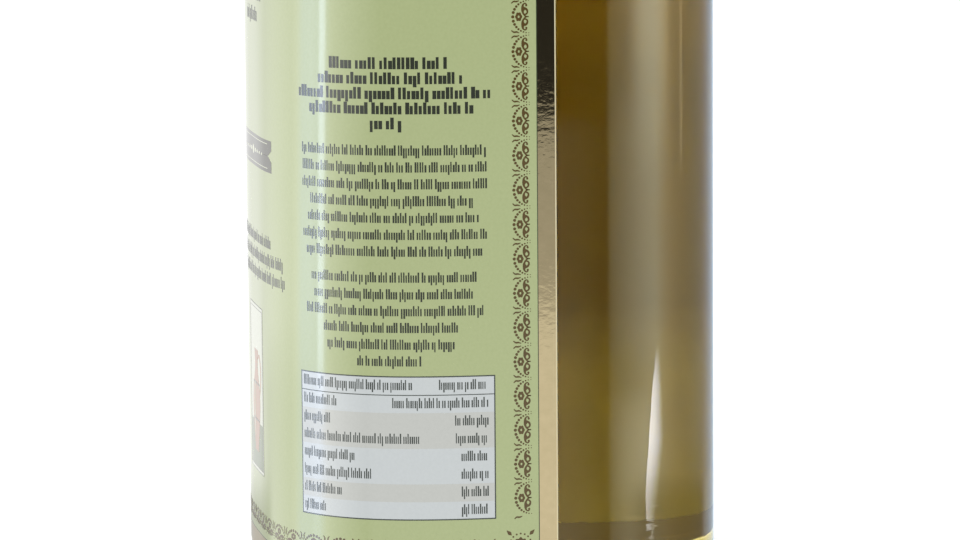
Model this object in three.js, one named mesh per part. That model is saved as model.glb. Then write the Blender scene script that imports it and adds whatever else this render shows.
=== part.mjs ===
// A shut one litre bottle of olive oil: clear glass with a rounded square body, a wrap-round
// paper label with a gold edge, and a screw cap with its tamper band.
// Millimetres, +Z up. The origin is the middle of the foot, and the front of the label faces -Y.
import * as THREE from 'three';

// Glass body. Its level sections are superellipses: exponent 2 is round, a larger one is squarer.
const BODY_HALF_WIDTH = 38.5;
const BODY_EXPONENT = 3;
const WALL = 2.6;
const BODY_SEGMENTS = 64;
const OIL_SEGMENTS = 48;

// Foot: a flat bearing ring round a shallow push-up.
const FOOT_INNER = 27.5;
const HEEL_RADIUS = 7;
const FOOT_OUTER = BODY_HALF_WIDTH - HEEL_RADIUS;
const PUSH_UP = 3.2;
const FLOOR_THICKNESS = 4.6;
const INNER_HEEL_RADIUS = 9;
const INNER_HEEL_SQUEEZE = 1.1;
const INNER_HEEL_TAPER = 14;
const FLOOR_FLAT = 4;

// Shoulder and neck, where the section turns from square to round.
const SHOULDER_Z = 210;
const SHOULDER_RADIUS = 22;
const FILLET_RADIUS = 20;
const NECK_RADIUS = 14.5;
const NECK_TOP_RADIUS = 13.9;
const SHOULDER_CENTRE = BODY_HALF_WIDTH - SHOULDER_RADIUS;
const FILLET_CENTRE = NECK_RADIUS + FILLET_RADIUS;
const NECK_Z = SHOULDER_Z + Math.sqrt(
    (SHOULDER_RADIUS + FILLET_RADIUS) ** 2 - (FILLET_CENTRE - SHOULDER_CENTRE) ** 2);
const ROUNDING_START_Z = SHOULDER_Z - 8;
const ROUNDING_END_Z = NECK_Z - 6;
const NECK_STRAIGHT = 8;
const BEAD_Z = 269;
const BEAD_HEIGHT = 3.4;
const BEAD_RADIUS = 15.5;
const BEAD_EASE = 0.7;
const FINISH_RADIUS = 14.2;
const BORE_RADIUS = 10.6;
const MOUTH_Z = 296;
const LIP_RADIUS = 1.2;
const MOUTH_EASE = 0.7;

// Oil, up to a level just inside the neck.
const OIL_LEVEL_Z = NECK_Z + 5;
const CLEARANCE = 0.3;

// Screw cap and tamper band.
const CAP_RADIUS = 15.75;
const CAP_WALL = 0.7;
const CAP_CORNER = 1.4;
const CAP_TOP_Z = MOUTH_Z + CLEARANCE + CAP_WALL;
const CAP_GROOVE_DEPTH = 0.35;
const CAP_GROOVES_Z = [CAP_TOP_Z - 15.4, CAP_TOP_Z - 6.4];
const CAP_GROOVE_HALF_HEIGHT = 0.7;
const CAP_SEGMENTS = 56;
const BAND_BOTTOM_Z = BEAD_Z + BEAD_HEIGHT + CLEARANCE;
const BAND_HEIGHT = 5.3;
const BAND_TOP_Z = BAND_BOTTOM_Z + BAND_HEIGHT;
const BAND_EDGE = 0.4;

// Label: a paper wrap with a strip of gold along all four edges. Its two ends are given as
// distances round the body from the middle of the front, and it reaches further round the left.
const LABEL_BOTTOM_Z = 9.5;
const LABEL_HEIGHT = 141.6;
const LABEL_LEFT_END = -93.4;
const LABEL_RIGHT_END = 71;
const GOLD_WIDTH = 2.9;
const LABEL_THICKNESS = 0.3;
const LABEL_STEP = 3.2;

const FRONT_ANGLE = -Math.PI / 2;
const WALKING_STEP = Math.PI / 3600;

function material(color, roughness, metalness, extra = {}) {
    return new THREE.MeshStandardMaterial({ color, roughness, metalness, ...extra });
}

const glassMaterial = material(0xdfe6dc, 0.05, 0, { transparent: true, opacity: 0.3 });
const oilMaterial = material(0x6b5418, 0.1, 0);
const paperMaterial = material(0xaab587, 0.45, 0);
const goldMaterial = material(0xb8a873, 0.25, 0.9);
const capMaterial = material(0x3f4a2c, 0.35, 0.6);

// Points of an arc in the profile plane, from one angle to another in degrees.
function arc(centreR, centreZ, radius, fromDegrees, toDegrees, steps) {
    const points = [];
    for (let i = 0; i <= steps; i++) {
        const angle = THREE.MathUtils.degToRad(THREE.MathUtils.lerp(fromDegrees, toDegrees, i / steps));
        points.push([centreR + radius * Math.cos(angle), centreZ + radius * Math.sin(angle)]);
    }
    return points;
}

// The shoulder from body to neck: a convex arc, then a concave one, both set in by an offset.
function shoulderProfile(inset) {
    const meetDegrees = THREE.MathUtils.radToDeg(
        Math.atan2(NECK_Z - SHOULDER_Z, FILLET_CENTRE - SHOULDER_CENTRE));
    return [
        ...arc(SHOULDER_CENTRE, SHOULDER_Z, SHOULDER_RADIUS - inset, 0, meetDegrees, 7),
        ...arc(FILLET_CENTRE, NECK_Z, FILLET_RADIUS + inset, meetDegrees + 180, 180, 6).slice(1),
    ];
}

// The shallow dome in the middle of the foot, from the axis out to where it meets the flat.
function domeProfile(radius, baseZ) {
    return [0, 0.35, 0.7, 1].map((part) => [radius * part, baseZ + PUSH_UP * (1 - part ** 2)]);
}

// The inside of the glass from the middle of its floor up to the start of the neck. Its wall is
// thicker above the heel, and thins out over a short taper.
function cavityProfile(inset) {
    const halfWidth = BODY_HALF_WIDTH - inset;
    const heelCentreR = halfWidth - INNER_HEEL_SQUEEZE - INNER_HEEL_RADIUS;
    const floorZ = FLOOR_THICKNESS + inset - WALL;
    const heelCentreZ = floorZ + INNER_HEEL_RADIUS;
    return [
        ...domeProfile(heelCentreR - FLOOR_FLAT, floorZ),
        ...arc(heelCentreR, heelCentreZ, INNER_HEEL_RADIUS, -90, 0, 5),
        [halfWidth, heelCentreZ + INNER_HEEL_TAPER],
        ...shoulderProfile(inset),
    ];
}

// Turns a profile of [radius, z] pairs about the Z axis.
function turned(profile, segments) {
    const points = profile.map(([radius, z]) => new THREE.Vector2(Math.max(radius, 0), z));
    return new THREE.LatheGeometry(points, segments).rotateX(Math.PI / 2);
}

function exponentAt(z) {
    const towardsNeck = THREE.MathUtils.smoothstep(z, ROUNDING_START_Z, ROUNDING_END_Z);
    return THREE.MathUtils.lerp(BODY_EXPONENT, 2, towardsNeck);
}

// How far a superellipse of half-width 1 reaches at an angle.
function reach(angle, exponent) {
    return (Math.abs(Math.cos(angle)) ** exponent + Math.abs(Math.sin(angle)) ** exponent) ** (-1 / exponent);
}

// Pushes the round rings of a turned shape out to rounded squares.
function squared(geometry) {
    const position = geometry.getAttribute('position');
    for (let i = 0; i < position.count; i++) {
        const [x, y, z] = [position.getX(i), position.getY(i), position.getZ(i)];
        const factor = reach(Math.atan2(y, x), exponentAt(z));
        position.setXY(i, x * factor, y * factor);
    }
    geometry.computeVertexNormals();
    return geometry;
}

function makeGlass() {
    const outside = [
        ...domeProfile(FOOT_INNER, 0),
        ...arc(FOOT_OUTER, HEEL_RADIUS, HEEL_RADIUS, -90, 0, 6),
        ...shoulderProfile(0),
        [NECK_TOP_RADIUS, BEAD_Z - BEAD_EASE],
        [BEAD_RADIUS, BEAD_Z + BEAD_EASE],
        [BEAD_RADIUS, BEAD_Z + BEAD_HEIGHT - BEAD_EASE],
        [FINISH_RADIUS, BEAD_Z + BEAD_HEIGHT],
        ...arc(FINISH_RADIUS - LIP_RADIUS, MOUTH_Z - LIP_RADIUS, LIP_RADIUS, 0, 90, 3),
    ];
    const inside = [
        [BORE_RADIUS + MOUTH_EASE, MOUTH_Z],
        [BORE_RADIUS, MOUTH_Z - MOUTH_EASE],
        [BORE_RADIUS, BEAD_Z],
        [NECK_RADIUS - WALL, NECK_Z + NECK_STRAIGHT],
        ...cavityProfile(WALL).reverse(),
    ];
    return squared(turned([...outside, ...inside], BODY_SEGMENTS));
}

function makeOil() {
    const inset = WALL + CLEARANCE;
    const wall = cavityProfile(inset);
    const surface = [
        [NECK_RADIUS - inset, OIL_LEVEL_Z],
        [0, OIL_LEVEL_Z],
    ];
    return squared(turned([...wall, ...surface], OIL_SEGMENTS));
}

// The cap's skirt seen from outside, with two rolled grooves, from its rim up to its corner.
function capSkirt() {
    const points = [[CAP_RADIUS, BAND_TOP_Z + CLEARANCE]];
    for (const z of CAP_GROOVES_Z) {
        points.push([CAP_RADIUS, z - CAP_GROOVE_HALF_HEIGHT]);
        points.push([CAP_RADIUS - CAP_GROOVE_DEPTH, z]);
        points.push([CAP_RADIUS, z + CAP_GROOVE_HALF_HEIGHT]);
    }
    return points;
}

function makeCap() {
    const innerRadius = CAP_RADIUS - CAP_WALL;
    const cornerCentre = [CAP_RADIUS - CAP_CORNER, CAP_TOP_Z - CAP_CORNER];
    return turned([
        [0, CAP_TOP_Z - CAP_WALL],
        ...arc(...cornerCentre, CAP_CORNER - CAP_WALL, 90, 0, 3),
        [innerRadius, BAND_TOP_Z + CLEARANCE],
        ...capSkirt(),
        ...arc(...cornerCentre, CAP_CORNER, 0, 90, 4),
        [0, CAP_TOP_Z],
    ], CAP_SEGMENTS);
}

function makeTamperBand() {
    const innerRadius = CAP_RADIUS - CAP_WALL;
    return turned([
        [innerRadius, BAND_TOP_Z],
        [innerRadius, BAND_BOTTOM_Z],
        [CAP_RADIUS - BAND_EDGE, BAND_BOTTOM_Z],
        [CAP_RADIUS, BAND_BOTTOM_Z + BAND_EDGE],
        [CAP_RADIUS, BAND_TOP_Z],
        [innerRadius, BAND_TOP_Z],
    ], CAP_SEGMENTS);
}

// A point of the body's section, with its outward normal.
function bodyPoint(angle) {
    const radius = BODY_HALF_WIDTH * reach(angle, BODY_EXPONENT);
    const point = new THREE.Vector2(Math.cos(angle), Math.sin(angle)).multiplyScalar(radius);
    const steepness = (value) => Math.sign(value) * Math.abs(value) ** (BODY_EXPONENT - 1);
    const normal = new THREE.Vector2(steepness(point.x), steepness(point.y)).normalize();
    return { point, normal };
}

// The angle on the body at a distance round it from the middle of the front.
function angleAtDistance(distance) {
    const step = WALKING_STEP * Math.sign(distance);
    let angle = FRONT_ANGLE;
    let walked = 0;
    let here = bodyPoint(angle).point;
    while (walked < Math.abs(distance)) {
        const next = bodyPoint(angle + step).point;
        walked += next.distanceTo(here);
        here = next;
        angle += step;
    }
    return angle;
}

// Stops along a line, no further apart than the label's step.
function stops(from, to) {
    const count = Math.max(1, Math.ceil((to - from) / LABEL_STEP));
    return Array.from({ length: count }, (_, i) => THREE.MathUtils.lerp(from, to, i / count));
}

// A thin sheet bent round the body: the cells of a grid that keep() accepts, closed all round.
function bentSheet(columns, rows, keep) {
    const positions = [];
    const indices = [];
    const inner = CLEARANCE;
    const outer = CLEARANCE + LABEL_THICKNESS;
    for (const column of columns) {
        const { point, normal } = bodyPoint(angleAtDistance(column));
        for (const z of rows) {
            for (const offset of [inner, outer]) {
                positions.push(point.x + normal.x * offset, point.y + normal.y * offset, z);
            }
        }
    }
    const at = (i, j, side) => (i * rows.length + j) * 2 + side;
    const quad = (a, b, c, d) => indices.push(a, b, c, a, c, d);
    const kept = (i, j) => i >= 0 && j >= 0 && i < columns.length - 1 && j < rows.length - 1 && keep(i, j);
    for (let i = 0; i < columns.length - 1; i++) {
        for (let j = 0; j < rows.length - 1; j++) {
            if (!kept(i, j)) continue;
            quad(at(i, j, 1), at(i + 1, j, 1), at(i + 1, j + 1, 1), at(i, j + 1, 1));
            quad(at(i, j, 0), at(i, j + 1, 0), at(i + 1, j + 1, 0), at(i + 1, j, 0));
            if (!kept(i - 1, j)) quad(at(i, j, 0), at(i, j, 1), at(i, j + 1, 1), at(i, j + 1, 0));
            if (!kept(i + 1, j)) quad(at(i + 1, j, 1), at(i + 1, j, 0), at(i + 1, j + 1, 0), at(i + 1, j + 1, 1));
            if (!kept(i, j - 1)) quad(at(i, j, 0), at(i + 1, j, 0), at(i + 1, j, 1), at(i, j, 1));
            if (!kept(i, j + 1)) quad(at(i, j + 1, 1), at(i + 1, j + 1, 1), at(i + 1, j + 1, 0), at(i, j + 1, 0));
        }
    }
    const geometry = new THREE.BufferGeometry();
    geometry.setAttribute('position', new THREE.Float32BufferAttribute(positions, 3));
    geometry.setIndex(indices);
    geometry.computeVertexNormals();
    return geometry;
}

function makeLabelPaper() {
    const margin = GOLD_WIDTH + CLEARANCE;
    const [left, right] = [LABEL_LEFT_END + margin, LABEL_RIGHT_END - margin];
    const rows = [LABEL_BOTTOM_Z + margin, LABEL_BOTTOM_Z + LABEL_HEIGHT - margin];
    return bentSheet([...stops(left, right), right], rows, () => true);
}

function makeLabelGold() {
    const [left, right] = [LABEL_LEFT_END + GOLD_WIDTH, LABEL_RIGHT_END - GOLD_WIDTH];
    const columns = [LABEL_LEFT_END, ...stops(left, right), right, LABEL_RIGHT_END];
    const top = LABEL_BOTTOM_Z + LABEL_HEIGHT;
    const rows = [LABEL_BOTTOM_Z, LABEL_BOTTOM_Z + GOLD_WIDTH, top - GOLD_WIDTH, top];
    const lastColumn = columns.length - 2;
    const lastRow = rows.length - 2;
    return bentSheet(columns, rows, (i, j) => i === 0 || i === lastColumn || j === 0 || j === lastRow);
}

function addPart(name, geometry, partMaterial) {
    const mesh = new THREE.Mesh(geometry, partMaterial);
    mesh.name = name;
    bottle.add(mesh);
}

const bottle = new THREE.Group();
addPart('glass_bottle', makeGlass(), glassMaterial);
addPart('oil', makeOil(), oilMaterial);
addPart('label_paper', makeLabelPaper(), paperMaterial);
addPart('label_gold_edge', makeLabelGold(), goldMaterial);
addPart('cap', makeCap(), capMaterial);
addPart('tamper_band', makeTamperBand(), capMaterial);

export default bottle;
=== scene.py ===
import random
from math import atan, atan2, ceil, cos, degrees, hypot, pi, radians, sin, sqrt

import bmesh
import bpy
import numpy as np
from mathutils import Matrix, Vector


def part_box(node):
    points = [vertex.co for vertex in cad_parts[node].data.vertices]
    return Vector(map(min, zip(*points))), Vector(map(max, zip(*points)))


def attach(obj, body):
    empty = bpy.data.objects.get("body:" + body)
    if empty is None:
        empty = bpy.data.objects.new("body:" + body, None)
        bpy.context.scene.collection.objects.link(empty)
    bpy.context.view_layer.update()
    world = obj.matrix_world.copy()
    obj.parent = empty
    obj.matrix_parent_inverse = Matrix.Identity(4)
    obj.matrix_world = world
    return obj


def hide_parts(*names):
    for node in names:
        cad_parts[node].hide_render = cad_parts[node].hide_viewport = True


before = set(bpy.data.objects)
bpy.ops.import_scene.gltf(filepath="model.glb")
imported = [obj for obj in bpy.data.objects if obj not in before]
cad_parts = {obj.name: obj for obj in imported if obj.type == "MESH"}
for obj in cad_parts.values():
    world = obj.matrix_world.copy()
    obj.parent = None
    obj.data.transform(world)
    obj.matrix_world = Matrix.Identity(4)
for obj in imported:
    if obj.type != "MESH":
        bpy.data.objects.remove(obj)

MM = 0.001
SHARP_ANGLE = radians(35)
TINY = 0.01
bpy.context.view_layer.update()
scene = bpy.context.scene

# Glass body, as in the frame. Exponent 2 gives a round section, a larger one a squarer section.
BODY_HALF_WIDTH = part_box("glass_bottle")[1].x / MM
BODY_EXPONENT = 3.0
WALL = 2.6
FOOT_INNER = 27.5
HEEL_RADIUS = 7.0
FOOT_OUTER = BODY_HALF_WIDTH - HEEL_RADIUS
PUSH_UP = 3.2
FLOOR_THICKNESS = 4.6
INNER_HEEL_RADIUS = 9.0
INNER_HEEL_SQUEEZE = 1.1
INNER_HEEL_TAPER = 14.0
FLOOR_FLAT = 4.0
SHOULDER_Z = 210.0
SHOULDER_RADIUS = 22.0
FILLET_RADIUS = 20.0
NECK_RADIUS = 14.5
NECK_TOP_RADIUS = 13.9
SHOULDER_CENTRE = BODY_HALF_WIDTH - SHOULDER_RADIUS
FILLET_CENTRE = NECK_RADIUS + FILLET_RADIUS
NECK_Z = SHOULDER_Z + sqrt(
    (SHOULDER_RADIUS + FILLET_RADIUS) ** 2 - (FILLET_CENTRE - SHOULDER_CENTRE) ** 2)
ROUNDING_Z = (SHOULDER_Z - 8, NECK_Z - 6)
NECK_STRAIGHT = 8.0
BEAD_Z = 269.0
BEAD_HEIGHT = 3.4
BEAD_RADIUS = 15.5
BEAD_ROUND = 1.4
FINISH_RADIUS = 14.2
BORE_RADIUS = 10.6
MOUTH_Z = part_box("glass_bottle")[1].z / MM
LIP_RADIUS = 1.2
BODY_SEGMENTS = 240
BODY_STEP = 4.0

# Oil: it reaches a little way into the wall, and creeps up it at its surface.
OIL_LEVEL_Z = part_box("oil")[1].z / MM
OIL_OVERLAP = 0.1
MENISCUS = 0.9
MENISCUS_WIDTH = 2.6

# Cap and tamper band. The ring pressed into the top is (inwards, depth) points, and the groove in
# the band is (inwards, height) points.
CAP_LOW, CAP_HIGH = (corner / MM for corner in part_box("cap"))
BAND_LOW, BAND_HIGH = (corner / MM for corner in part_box("tamper_band"))
CAP_RADIUS = CAP_HIGH.x
CAP_WALL = 0.7
CAP_INNER = CAP_RADIUS - CAP_WALL
CAP_CORNER = 1.4
CUT_EDGE = 0.15
CAP_STEP = 0.9
GROOVES_Z = [CAP_HIGH.z - 15.4, CAP_HIGH.z - 6.4]
GROOVE_DEPTH = 0.35
GROOVE_HALF_HEIGHT = 0.7
FLUTES = 90
FLUTE_DEPTH = 0.22
FLUTE_FADE = 0.6
FLUTE_STEP = 0.3
CAP_SEGMENTS = 4 * FLUTES
TOP_RING = [(2.7, 0), (3.0, 0.12), (3.4, 0.12), (3.7, 0)]
BAND_FLAT = 0.5
BAND_ROLL = 0.4
BAND_GROOVE = [(0, 1.4), (0.18, 1.6), (0, 1.8)]
BRIDGES = 14
BRIDGE_WIDTH = 0.9
BRIDGE_INSET = 0.12
BRIDGE_OVERLAP = 0.1

# Label: distances round the body from the middle of the front, positive towards +X.
LABEL_LOW, LABEL_HIGH = (corner.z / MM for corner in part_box("label_gold_edge"))
LABEL_LEFT = -93.4
LABEL_RIGHT = 71.0
LABEL_SUNK = 0.03
PAPER_TOP = 0.09
PAPER_STEP = 0.8
FOIL_MARGIN = 0.2
FOIL_INNER = 3.1
FOIL_THICKNESS = 0.015
EDGE_LINE = 0.14
EDGE_OVERLAP = 0.02
INK_SUNK = 0.004
INK_THICKNESS = 0.012
INK_LAYER = 0.004
FINEST_LINE = 0.02

# Camera: it looks at the front's right from a little above, and is tilted a little.
CAMERA_AZIMUTH = radians(79.7)
CAMERA_ELEVATION = atan(0.131)
CAMERA_DISTANCE = 863.0
CAMERA_AIM_Z = 56.5
CAMERA_ASIDE = 0.27
CAMERA_ROLL = radians(-0.42)
CAMERA_LENS = 188.7
CLIP_END = 50000.0
LIGHT_BOUNCES = 24


# Shapes.

class Shape:
    """The points and faces of one piece, in millimetres, with each face's material number."""

    def __init__(self):
        self.points = []
        self.faces = []
        self.finishes = []

    def add(self, points, faces, finish=0):
        first = len(self.points)
        self.points.extend(tuple(point) for point in points)
        self.faces.extend([first + i for i in face] for face in faces)
        self.finishes.extend([finish] * len(faces))


def add_piece(name, shape, materials, replaced=None):
    """Makes a Blender object of a shape and hangs it on the bottle."""
    mesh = bpy.data.meshes.new(name)
    mesh.from_pydata([Vector(point) * MM for point in shape.points], [], shape.faces)
    for finish in materials:
        mesh.materials.append(finish)
    mesh.polygons.foreach_set("material_index", shape.finishes)
    mesh.polygons.foreach_set("use_smooth", [True] * len(shape.faces))
    solid = bmesh.new()
    solid.from_mesh(mesh)
    bmesh.ops.recalc_face_normals(solid, faces=solid.faces)
    for edge in solid.edges:
        edge.smooth = edge.calc_face_angle(0) < SHARP_ANGLE
    solid.to_mesh(mesh)
    solid.free()
    piece = bpy.data.objects.new(name, mesh)
    scene.collection.objects.link(piece)
    if replaced:
        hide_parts(replaced)
    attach(piece, "root")


def add_print(name, shape, *inks):
    """Adds a printed piece, with the names of its inks."""
    add_piece(name, shape, [ink(each) for each in inks])


def smoothstep(value, low, high):
    part = min(max((value - low) / (high - low), 0.0), 1.0)
    return part * part * (3 - 2 * part)


def reach(angle, exponent):
    """How far a superellipse of half-width 1 reaches at an angle."""
    powers = np.abs(np.cos(angle)) ** exponent + np.abs(np.sin(angle)) ** exponent
    return powers ** (-1 / exponent)


def arc(centre_r, centre_z, radius, start, end, steps):
    """Points of an arc in the profile plane, from one angle to another in degrees."""
    angles = np.radians(np.linspace(start, end, steps + 1))
    return [(centre_r + radius * cos(a), centre_z + radius * sin(a)) for a in angles]


def filled_in(profile, longest=BODY_STEP):
    """A profile with its long straight stretches cut into short ones."""
    points = [profile[0]]
    for (r0, z0), (r1, z1) in zip(profile, profile[1:]):
        count = max(1, ceil(hypot(r1 - r0, z1 - z0) / longest))
        for i in range(1, count + 1):
            points.append((r0 + (r1 - r0) * i / count, z0 + (z1 - z0) * i / count))
    return points


def turned(shape, profile, segments, swell=lambda angles, z: 1.0):
    """Turns a profile about the Z axis. A swell gives the factor on the radius at each angle."""
    angles = np.arange(segments) * 2 * pi / segments
    rings = []
    points = []
    for r, z in profile:
        if r < TINY:
            rings.append([len(points)] * segments)
            points.append((0, 0, z))
            continue
        radii = r * swell(angles, z) * np.ones(segments)
        rings.append(list(range(len(points), len(points) + segments)))
        points.extend(zip(radii * np.cos(angles), radii * np.sin(angles), [z] * segments))
    faces = []
    for low, high in zip(rings, rings[1:]):
        for i in range(segments):
            j = (i + 1) % segments
            corners = [low[i], low[j], high[j], high[i]]
            faces.append([c for n, c in enumerate(corners) if c not in corners[:n]])
    shape.add(points, faces)


# Bottle.

def shoulder_profile(inset):
    """The shoulder from body to neck: a convex arc, then a concave one, both set in."""
    meet = degrees(atan2(NECK_Z - SHOULDER_Z, FILLET_CENTRE - SHOULDER_CENTRE))
    return [
        *arc(SHOULDER_CENTRE, SHOULDER_Z, SHOULDER_RADIUS - inset, 0, meet, 24),
        *arc(FILLET_CENTRE, NECK_Z, FILLET_RADIUS + inset, meet + 180, 180, 18)[1:],
    ]


def dome_profile(radius, base_z):
    """The shallow dome in the middle of the foot."""
    return [(radius * part, base_z + PUSH_UP * (1 - part ** 2)) for part in np.linspace(0, 1, 13)]


def cavity_profile(inset):
    """The inside of the glass, from the middle of its floor up to the neck."""
    half_width = BODY_HALF_WIDTH - inset
    heel_r = half_width - INNER_HEEL_SQUEEZE - INNER_HEEL_RADIUS
    floor_z = FLOOR_THICKNESS + inset - WALL
    heel_z = floor_z + INNER_HEEL_RADIUS
    return [
        *dome_profile(heel_r - FLOOR_FLAT, floor_z),
        *arc(heel_r, heel_z, INNER_HEEL_RADIUS, -90, 0, 16),
        (half_width, heel_z + INNER_HEEL_TAPER),
        *shoulder_profile(inset),
    ]


def squared(angles, z):
    return reach(angles, BODY_EXPONENT + (2 - BODY_EXPONENT) * smoothstep(z, *ROUNDING_Z))


def make_glass(outer_finish, wet_finish):
    outside = [
        *dome_profile(FOOT_INNER, 0),
        *arc(FOOT_OUTER, HEEL_RADIUS, HEEL_RADIUS, -90, 0, 16),
        *shoulder_profile(0),
        (NECK_TOP_RADIUS, BEAD_Z - BEAD_ROUND / 2),
        *arc(BEAD_RADIUS - BEAD_ROUND, BEAD_Z + BEAD_ROUND, BEAD_ROUND, -60, 0, 6),
        *arc(BEAD_RADIUS - BEAD_ROUND, BEAD_Z + BEAD_HEIGHT - BEAD_ROUND, BEAD_ROUND, 0, 80, 6),
        (FINISH_RADIUS, BEAD_Z + BEAD_HEIGHT),
        *arc(FINISH_RADIUS - LIP_RADIUS, MOUTH_Z - LIP_RADIUS, LIP_RADIUS, 0, 90, 8),
    ]
    inside = [
        *arc(BORE_RADIUS + LIP_RADIUS, MOUTH_Z - LIP_RADIUS, LIP_RADIUS, 90, 180, 8),
        (BORE_RADIUS, BEAD_Z),
        (NECK_RADIUS - WALL, NECK_Z + NECK_STRAIGHT),
        (NECK_RADIUS - WALL, OIL_LEVEL_Z),
        *reversed(cavity_profile(WALL)),
    ]
    outside, inside = filled_in(outside), filled_in(inside)
    shape = Shape()
    turned(shape, [*outside, *inside], BODY_SEGMENTS, squared)
    rows = [0] * len(outside) + [int(z < OIL_LEVEL_Z + TINY) for _, z in inside[:-1]]
    shape.finishes = np.repeat(rows, BODY_SEGMENTS).tolist()
    add_piece("bottle_glass", shape, [outer_finish, wet_finish], "glass_bottle")


def make_oil(finish):
    edge = NECK_RADIUS - WALL + OIL_OVERLAP
    surface = []
    for part in np.linspace(0, 1, 9)[1:]:
        depth = MENISCUS * (1 - part) ** 2
        surface.append((edge - MENISCUS_WIDTH * part, OIL_LEVEL_Z - MENISCUS + depth))
    surface.append((0, OIL_LEVEL_Z - MENISCUS))
    shape = Shape()
    wall = [*cavity_profile(WALL - OIL_OVERLAP), (edge, OIL_LEVEL_Z)]
    turned(shape, [*filled_in(wall), *surface], BODY_SEGMENTS, squared)
    add_piece("oil_fill", shape, [finish], "oil")


# Cap and tamper band.

def fluted(angles, z):
    """Fine upright flutes round the top part of the cap's skirt."""
    top = CAP_HIGH.z - CAP_CORNER
    bottom = GROOVES_Z[1] + 2 * GROOVE_HALF_HEIGHT
    fade = min(smoothstep(z, bottom, bottom + FLUTE_FADE), smoothstep(-z, -top, FLUTE_FADE - top))
    return 1 - fade * FLUTE_DEPTH / CAP_RADIUS * (0.5 - 0.5 * np.cos(FLUTES * angles))


def make_cap(finish):
    corner = (CAP_RADIUS - CAP_CORNER, CAP_HIGH.z - CAP_CORNER)
    skirt = [(CAP_RADIUS - CUT_EDGE, CAP_LOW.z), (CAP_RADIUS, CAP_LOW.z + CUT_EDGE)]
    for z in GROOVES_Z:
        for part in np.linspace(-1, 1, 9):
            depth = GROOVE_DEPTH * (0.5 + 0.5 * cos(pi * part))
            skirt.append((CAP_RADIUS - depth, z + GROOVE_HALF_HEIGHT * part))
    shape = Shape()
    turned(shape, [
        (0, CAP_HIGH.z - CAP_WALL),
        *arc(*corner, CAP_CORNER - CAP_WALL, 90, 0, 5),
        (CAP_INNER, CAP_LOW.z),
        *filled_in(skirt, CAP_STEP),
        *filled_in([(CAP_RADIUS, skirt[-1][1]), (CAP_RADIUS, corner[1])], FLUTE_STEP)[1:],
        *arc(*corner, CAP_CORNER, 0, 90, 8)[1:],
        *[(CAP_RADIUS - inwards, CAP_HIGH.z - depth) for inwards, depth in TOP_RING],
        (0, CAP_HIGH.z),
    ], CAP_SEGMENTS, fluted)
    add_piece("screw_cap", shape, [finish], "cap")


def make_tamper_band(finish):
    shape = Shape()
    turned(shape, [
        (CAP_INNER, BAND_HIGH.z),
        (CAP_INNER, BAND_LOW.z),
        (CAP_RADIUS - BAND_FLAT, BAND_LOW.z),
        *arc(CAP_RADIUS - BAND_ROLL, BAND_LOW.z + BAND_ROLL, BAND_ROLL, -90, 0, 5),
        *[(CAP_RADIUS - inwards, BAND_LOW.z + height) for inwards, height in BAND_GROOVE],
        (CAP_RADIUS, BAND_HIGH.z - CUT_EDGE),
        (CAP_RADIUS - CUT_EDGE, BAND_HIGH.z),
        (CAP_INNER, BAND_HIGH.z),
    ], CAP_SEGMENTS)
    for k in range(BRIDGES):
        bridge(shape, 2 * pi * k / BRIDGES)
    add_piece("tamper_ring", shape, [finish], "tamper_band")


def bridge(shape, angle):
    """One of the small bridges that hold the band to the cap."""
    radii = (CAP_INNER + BRIDGE_OVERLAP, CAP_RADIUS - BRIDGE_INSET)
    heights = (BAND_HIGH.z - BRIDGE_OVERLAP, CAP_LOW.z + BRIDGE_OVERLAP)
    half = BRIDGE_WIDTH / 2
    turn = Matrix.Rotation(angle, 3, "Z")
    corners = [turn @ Vector((r, w, z)) for z in heights for w in (-half, half) for r in radii]
    faces = [(0, 2, 3, 1), (4, 5, 7, 6), (0, 1, 5, 4), (1, 3, 7, 5), (3, 2, 6, 7), (2, 0, 4, 6)]
    shape.add(corners, faces)


# The body's surface, as distance round it and height.

SECTION_ANGLES = np.linspace(-1.5 * pi, 0.5 * pi, 14401)
SECTION_RADII = BODY_HALF_WIDTH * reach(SECTION_ANGLES, BODY_EXPONENT)
SECTION = np.stack([np.cos(SECTION_ANGLES), np.sin(SECTION_ANGLES)], 1) * SECTION_RADII[:, None]
STEPS = np.hypot(*np.diff(SECTION, axis=0).T)
WALKED = np.concatenate([[0], np.cumsum(STEPS)])
WALKED -= WALKED[-1] / 2


def on_body(flat_points, offset):
    """Points at (distance round, height) pairs, lifted off the glass by an offset."""
    flat = np.asarray(flat_points, float).reshape(-1, 2)
    angles = np.interp(flat[:, 0], WALKED, SECTION_ANGLES)
    directions = np.stack([np.cos(angles), np.sin(angles)], 1)
    places = directions * (BODY_HALF_WIDTH * reach(angles, BODY_EXPONENT))[:, None]
    normals = np.sign(directions) * np.abs(directions) ** (BODY_EXPONENT - 1)
    normals /= np.hypot(*normals.T)[:, None]
    return np.column_stack([places + normals * offset, flat[:, 1]])


def stops(start, end, step=PAPER_STEP):
    return np.linspace(start, end, max(1, ceil(abs(end - start) / step)) + 1)


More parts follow.
